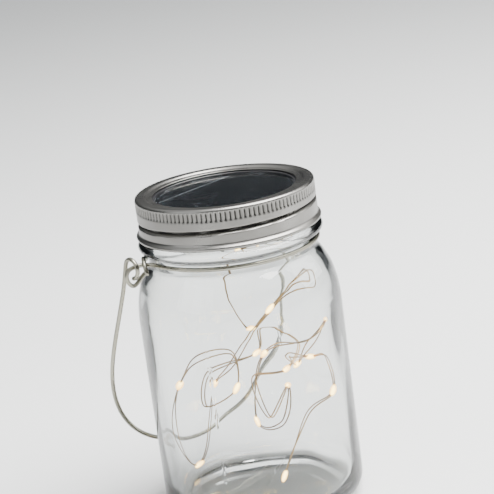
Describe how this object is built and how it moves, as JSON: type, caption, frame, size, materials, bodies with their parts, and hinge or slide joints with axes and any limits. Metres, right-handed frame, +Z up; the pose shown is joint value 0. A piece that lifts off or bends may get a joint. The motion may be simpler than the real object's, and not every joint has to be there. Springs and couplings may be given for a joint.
{
  "type": "mason jar lantern",
  "caption": "Screw-top glass jar lantern with a solar lid, a loose string of small lights inside and a hanging wire handle.",
  "frame": {"origin": "centre of the jar's flat base", "axes": "+Z up along the jar's axis; -Y is the front; the wire handle hangs on the back left, towards -X +Y"},
  "size_m": [0.0993, 0.0967, 0.135],
  "materials": {
    "glass": "clear, smooth, slightly thick at the shoulder",
    "band_steel": "rolled and brushed, knurled wall",
    "wire_nickel": "dull nickel",
    "black_plastic": "moulded, slightly glossy",
    "seal_rubber": "matt",
    "clear_sheet": "smooth tinted clear sheet",
    "solar_cell": "dark grey cell",
    "panel_board": "pale laminate",
    "circuit_green": "solder mask",
    "moulded_black": "moulded",
    "inductor_green": "coated",
    "contact_plate": "plated",
    "battery_wrap": "shrink wrap",
    "switch_white": "moulded",
    "screw_zinc": "zinc plated",
    "copper_wire": "lacquered copper"
  },
  "bodies": {
    "jar": {"glass_jar": "glass", "neck_wire": "wire_nickel"},
    "lid_insert": {"lid_gasket": "seal_rubber", "solar_tray": "black_plastic", "panel_sheet": "clear_sheet", "solar_cell_large": "solar_cell", "solar_cell_small": "solar_cell", "panel_board": "panel_board", "battery_cup": "black_plastic", "battery_door": "black_plastic", "housing_screw_1": "screw_zinc", "housing_screw_2": "screw_zinc", "housing_screw_3": "screw_zinc", "door_screw": "screw_zinc", "circuit_board": "circuit_green", "driver_chip": "moulded_black", "inductor": "inductor_green", "switch_body": "moulded_black", "battery_cell": "battery_wrap", "contact_plate_plus": "contact_plate", "contact_plate_minus": "contact_plate", "contact_spring": "contact_plate", "cord_grommet": "moulded_black", "led_string": "copper_wire"},
    "band": {"screw_band": "band_steel"},
    "slider": {"switch_slider": "switch_white"},
    "handle": {"bail_handle": "wire_nickel"}
  },
  "joints": [
    {"name": "lid_rise", "type": "slide", "parent": "jar", "child": "lid_insert", "axis": [0, 0, 1], "range_m": [0, 0.0064], "deforming": ["led_string"]},
    {"name": "band_turn", "type": "hinge", "parent": "lid_insert", "child": "band", "pos_m": [0, 0, 0.1266], "axis": [0, 0, 1], "range_deg": [0, 450]},
    {"name": "switch_slide", "type": "slide", "parent": "lid_insert", "child": "slider", "axis": [1, 0, 0], "range_m": [0, 0.0024]},
    {"name": "bail_swing", "type": "hinge", "parent": "jar", "child": "handle", "pos_m": [-0.00684, 0.00907, 0.1104], "axis": [0.7986, 0.6018, 0], "range_deg": [0, 275]}
  ],
  "couplings": [
    {"joint": "lid_rise", "follows": "band_turn", "m_per_rad": 0.00080851}
  ]
}
